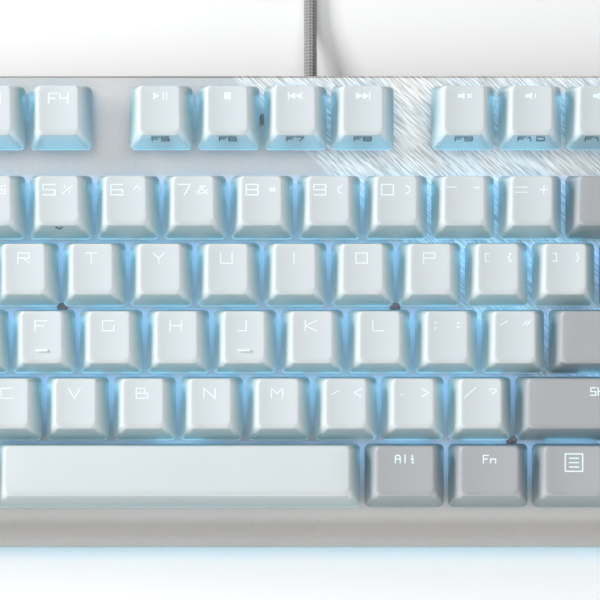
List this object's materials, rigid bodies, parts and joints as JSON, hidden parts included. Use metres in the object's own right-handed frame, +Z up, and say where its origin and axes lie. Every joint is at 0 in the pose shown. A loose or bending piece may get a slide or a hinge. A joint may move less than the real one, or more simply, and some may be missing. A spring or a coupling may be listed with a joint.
{
  "type": "mechanical keyboard",
  "caption": "Compact mechanical keyboard with floating white and grey keycaps on a bent aluminium plate, folding rear feet and a stored braided cable.",
  "frame": {"origin": "on the desk, under the middle of the case's footprint", "axes": "+X to the right as typed on, +Y to the back where the cable leaves, +Z up"},
  "size_m": [0.356, 0.2278, 0.0392],
  "materials": {
    "keycap_white": "satin, light white",
    "keycap_grey": "satin, mid grey",
    "bottom_case": "fine spark texture",
    "top_plate": "fine satin on the left, diagonal hairline brushing on the right",
    "circuit_board": "solder mask",
    "board_components": "moulded packages",
    "switch_bases": "moulded",
    "switch_covers": "clear moulded",
    "switch_contacts": "stamped",
    "switch_springs": "drawn wire",
    "key_leds": "lit, light blue",
    "stabilizer_housings": "moulded",
    "stabilizer_wires": "drawn wire",
    "case_screws": "dark plated",
    "rubber_feet": "matte",
    "tilt_foot": "fine spark texture",
    "cable_strain_relief": "matte",
    "inner_lead": "insulated wires",
    "cable_braid": "braided sleeve",
    "cable_tie": "hook and loop strap",
    "usb_plug_body": "overmoulded",
    "usb_plug_shell": "plated steel"
  },
  "bodies": {
    "case": {"bottom_case": "bottom_case", "top_plate": "top_plate", "circuit_board": "circuit_board", "board_components": "board_components", "switch_bases": "switch_bases", "switch_covers": "switch_covers", "switch_contacts": "switch_contacts", "switch_springs": "switch_springs", "key_leds": "key_leds", "stabilizer_housings": "stabilizer_housings", "stabilizer_wires": "stabilizer_wires", "case_screws": "case_screws", "rubber_feet": "rubber_feet", "cable_strain_relief": "cable_strain_relief", "inner_lead": "inner_lead", "usb_cable": "cable_braid", "cable_coil": "cable_braid", "cable_tail": "cable_braid", "cable_tie": "cable_tie", "usb_plug_body": "usb_plug_body", "usb_plug_shell": "usb_plug_shell"},
    "key_q": {"key_q": "keycap_white"},
    "key_w": {"key_w": "keycap_white"},
    "key_e": {"key_e": "keycap_white"},
    "key_r": {"key_r": "keycap_white"},
    "key_t": {"key_t": "keycap_white"},
    "key_y": {"key_y": "keycap_white"},
    "key_u": {"key_u": "keycap_white"},
    "key_i": {"key_i": "keycap_white"},
    "key_o": {"key_o": "keycap_white"},
    "key_p": {"key_p": "keycap_white"},
    "key_a": {"key_a": "keycap_white"},
    "key_s": {"key_s": "keycap_white"},
    "key_d": {"key_d": "keycap_white"},
    "key_f": {"key_f": "keycap_white"},
    "key_g": {"key_g": "keycap_white"},
    "key_h": {"key_h": "keycap_white"},
    "key_j": {"key_j": "keycap_white"},
    "key_k": {"key_k": "keycap_white"},
    "key_l": {"key_l": "keycap_white"},
    "key_z": {"key_z": "keycap_white"},
    "key_x": {"key_x": "keycap_white"},
    "key_c": {"key_c": "keycap_white"},
    "key_v": {"key_v": "keycap_white"},
    "key_b": {"key_b": "keycap_white"},
    "key_n": {"key_n": "keycap_white"},
    "key_m": {"key_m": "keycap_white"},
    "key_space": {"key_space": "keycap_white"},
    "key_enter": {"key_enter": "keycap_grey"},
    "key_backspace": {"key_backspace": "keycap_grey"},
    "key_left_shift": {"key_left_shift": "keycap_grey"},
    "key_right_shift": {"key_right_shift": "keycap_grey"},
    "function_keys": {"function_keys": "keycap_white"},
    "number_keys": {"number_keys": "keycap_white"},
    "punctuation_keys": {"punctuation_keys": "keycap_white"},
    "modifier_keys": {"modifier_keys": "keycap_grey"},
    "navigation_keys": {"navigation_keys": "keycap_grey"},
    "arrow_keys": {"arrow_keys": "keycap_grey"},
    "left_foot": {"left_tilt_foot": "tilt_foot"},
    "right_foot": {"right_tilt_foot": "tilt_foot"}
  },
  "joints": [
    {"name": "key_q_press", "type": "slide", "parent": "case", "child": "key_q", "axis": [0, 0.0698, -0.9976], "range_m": [0, 0.004], "stiffness_N_per_m": 75, "springref_m": -0.004, "deforming": ["switch_springs"]},
    {"name": "key_w_press", "type": "slide", "parent": "case", "child": "key_w", "axis": [0, 0.0698, -0.9976], "range_m": [0, 0.004], "stiffness_N_per_m": 75, "springref_m": -0.004, "deforming": ["switch_springs"]},
    {"name": "key_e_press", "type": "slide", "parent": "case", "child": "key_e", "axis": [0, 0.0698, -0.9976], "range_m": [0, 0.004], "stiffness_N_per_m": 75, "springref_m": -0.004, "deforming": ["switch_springs"]},
    {"name": "key_r_press", "type": "slide", "parent": "case", "child": "key_r", "axis": [0, 0.0698, -0.9976], "range_m": [0, 0.004], "stiffness_N_per_m": 75, "springref_m": -0.004, "deforming": ["switch_springs"]},
    {"name": "key_t_press", "type": "slide", "parent": "case", "child": "key_t", "axis": [0, 0.0698, -0.9976], "range_m": [0, 0.004], "stiffness_N_per_m": 75, "springref_m": -0.004, "deforming": ["switch_springs"]},
    {"name": "key_y_press", "type": "slide", "parent": "case", "child": "key_y", "axis": [0, 0.0698, -0.9976], "range_m": [0, 0.004], "stiffness_N_per_m": 75, "springref_m": -0.004, "deforming": ["switch_springs"]},
    {"name": "key_u_press", "type": "slide", "parent": "case", "child": "key_u", "axis": [0, 0.0698, -0.9976], "range_m": [0, 0.004], "stiffness_N_per_m": 75, "springref_m": -0.004, "deforming": ["switch_springs"]},
    {"name": "key_i_press", "type": "slide", "parent": "case", "child": "key_i", "axis": [0, 0.0698, -0.9976], "range_m": [0, 0.004], "stiffness_N_per_m": 75, "springref_m": -0.004, "deforming": ["switch_springs"]},
    {"name": "key_o_press", "type": "slide", "parent": "case", "child": "key_o", "axis": [0, 0.0698, -0.9976], "range_m": [0, 0.004], "stiffness_N_per_m": 75, "springref_m": -0.004, "deforming": ["switch_springs"]},
    {"name": "key_p_press", "type": "slide", "parent": "case", "child": "key_p", "axis": [0, 0.0698, -0.9976], "range_m": [0, 0.004], "stiffness_N_per_m": 75, "springref_m": -0.004, "deforming": ["switch_springs"]},
    {"name": "key_a_press", "type": "slide", "parent": "case", "child": "key_a", "axis": [0, 0.0698, -0.9976], "range_m": [0, 0.004], "stiffness_N_per_m": 75, "springref_m": -0.004, "deforming": ["switch_springs"]},
    {"name": "key_s_press", "type": "slide", "parent": "case", "child": "key_s", "axis": [0, 0.0698, -0.9976], "range_m": [0, 0.004], "stiffness_N_per_m": 75, "springref_m": -0.004, "deforming": ["switch_springs"]},
    {"name": "key_d_press", "type": "slide", "parent": "case", "child": "key_d", "axis": [0, 0.0698, -0.9976], "range_m": [0, 0.004], "stiffness_N_per_m": 75, "springref_m": -0.004, "deforming": ["switch_springs"]},
    {"name": "key_f_press", "type": "slide", "parent": "case", "child": "key_f", "axis": [0, 0.0698, -0.9976], "range_m": [0, 0.004], "stiffness_N_per_m": 75, "springref_m": -0.004, "deforming": ["switch_springs"]},
    {"name": "key_g_press", "type": "slide", "parent": "case", "child": "key_g", "axis": [0, 0.0698, -0.9976], "range_m": [0, 0.004], "stiffness_N_per_m": 75, "springref_m": -0.004, "deforming": ["switch_springs"]},
    {"name": "key_h_press", "type": "slide", "parent": "case", "child": "key_h", "axis": [0, 0.0698, -0.9976], "range_m": [0, 0.004], "stiffness_N_per_m": 75, "springref_m": -0.004, "deforming": ["switch_springs"]},
    {"name": "key_j_press", "type": "slide", "parent": "case", "child": "key_j", "axis": [0, 0.0698, -0.9976], "range_m": [0, 0.004], "stiffness_N_per_m": 75, "springref_m": -0.004, "deforming": ["switch_springs"]},
    {"name": "key_k_press", "type": "slide", "parent": "case", "child": "key_k", "axis": [0, 0.0698, -0.9976], "range_m": [0, 0.004], "stiffness_N_per_m": 75, "springref_m": -0.004, "deforming": ["switch_springs"]},
    {"name": "key_l_press", "type": "slide", "parent": "case", "child": "key_l", "axis": [0, 0.0698, -0.9976], "range_m": [0, 0.004], "stiffness_N_per_m": 75, "springref_m": -0.004, "deforming": ["switch_springs"]},
    {"name": "key_z_press", "type": "slide", "parent": "case", "child": "key_z", "axis": [0, 0.0698, -0.9976], "range_m": [0, 0.004], "stiffness_N_per_m": 75, "springref_m": -0.004, "deforming": ["switch_springs"]},
    {"name": "key_x_press", "type": "slide", "parent": "case", "child": "key_x", "axis": [0, 0.0698, -0.9976], "range_m": [0, 0.004], "stiffness_N_per_m": 75, "springref_m": -0.004, "deforming": ["switch_springs"]},
    {"name": "key_c_press", "type": "slide", "parent": "case", "child": "key_c", "axis": [0, 0.0698, -0.9976], "range_m": [0, 0.004], "stiffness_N_per_m": 75, "springref_m": -0.004, "deforming": ["switch_springs"]},
    {"name": "key_v_press", "type": "slide", "parent": "case", "child": "key_v", "axis": [0, 0.0698, -0.9976], "range_m": [0, 0.004], "stiffness_N_per_m": 75, "springref_m": -0.004, "deforming": ["switch_springs"]},
    {"name": "key_b_press", "type": "slide", "parent": "case", "child": "key_b", "axis": [0, 0.0698, -0.9976], "range_m": [0, 0.004], "stiffness_N_per_m": 75, "springref_m": -0.004, "deforming": ["switch_springs"]},
    {"name": "key_n_press", "type": "slide", "parent": "case", "child": "key_n", "axis": [0, 0.0698, -0.9976], "range_m": [0, 0.004], "stiffness_N_per_m": 75, "springref_m": -0.004, "deforming": ["switch_springs"]},
    {"name": "key_m_press", "type": "slide", "parent": "case", "child": "key_m", "axis": [0, 0.0698, -0.9976], "range_m": [0, 0.004], "stiffness_N_per_m": 75, "springref_m": -0.004, "deforming": ["switch_springs"]},
    {"name": "key_space_press", "type": "slide", "parent": "case", "child": "key_space", "axis": [0, 0.0698, -0.9976], "range_m": [0, 0.004], "stiffness_N_per_m": 75, "springref_m": -0.004, "deforming": ["switch_springs"]},
    {"name": "key_enter_press", "type": "slide", "parent": "case", "child": "key_enter", "axis": [0, 0.0698, -0.9976], "range_m": [0, 0.004], "stiffness_N_per_m": 75, "springref_m": -0.004, "deforming": ["switch_springs"]},
    {"name": "key_backspace_press", "type": "slide", "parent": "case", "child": "key_backspace", "axis": [0, 0.0698, -0.9976], "range_m": [0, 0.004], "stiffness_N_per_m": 75, "springref_m": -0.004, "deforming": ["switch_springs"]},
    {"name": "key_left_shift_press", "type": "slide", "parent": "case", "child": "key_left_shift", "axis": [0, 0.0698, -0.9976], "range_m": [0, 0.004], "stiffness_N_per_m": 75, "springref_m": -0.004, "deforming": ["switch_springs"]},
    {"name": "key_right_shift_press", "type": "slide", "parent": "case", "child": "key_right_shift", "axis": [0, 0.0698, -0.9976], "range_m": [0, 0.004], "stiffness_N_per_m": 75, "springref_m": -0.004, "deforming": ["switch_springs"]},
    {"name": "function_keys_press", "type": "slide", "parent": "case", "child": "function_keys", "axis": [0, 0.0698, -0.9976], "range_m": [0, 0.004], "stiffness_N_per_m": 975, "springref_m": -0.004, "deforming": ["switch_springs"]},
    {"name": "number_keys_press", "type": "slide", "parent": "case", "child": "number_keys", "axis": [0, 0.0698, -0.9976], "range_m": [0, 0.004], "stiffness_N_per_m": 975, "springref_m": -0.004, "deforming": ["switch_springs"]},
    {"name": "punctuation_keys_press", "type": "slide", "parent": "case", "child": "punctuation_keys", "axis": [0, 0.0698, -0.9976], "range_m": [0, 0.004], "stiffness_N_per_m": 600, "springref_m": -0.004, "deforming": ["switch_springs"]},
    {"name": "modifier_keys_press", "type": "slide", "parent": "case", "child": "modifier_keys", "axis": [0, 0.0698, -0.9976], "range_m": [0, 0.004], "stiffness_N_per_m": 675, "springref_m": -0.004, "deforming": ["switch_springs"]},
    {"name": "navigation_keys_press", "type": "slide", "parent": "case", "child": "navigation_keys", "axis": [0, 0.0698, -0.9976], "range_m": [0, 0.004], "stiffness_N_per_m": 675, "springref_m": -0.004, "deforming": ["switch_springs"]},
    {"name": "arrow_keys_press", "type": "slide", "parent": "case", "child": "arrow_keys", "axis": [0, 0.0698, -0.9976], "range_m": [0, 0.004], "stiffness_N_per_m": 300, "springref_m": -0.004, "deforming": ["switch_springs"]},
    {"name": "left_foot_fold", "type": "hinge", "parent": "case", "child": "left_foot", "pos_m": [-0.15, 0.057, 0.0038], "axis": [1, 0, 0], "range_deg": [0, 80]},
    {"name": "right_foot_fold", "type": "hinge", "parent": "case", "child": "right_foot", "pos_m": [0.15, 0.057, 0.0038], "axis": [1, 0, 0], "range_deg": [0, 80]}
  ]
}
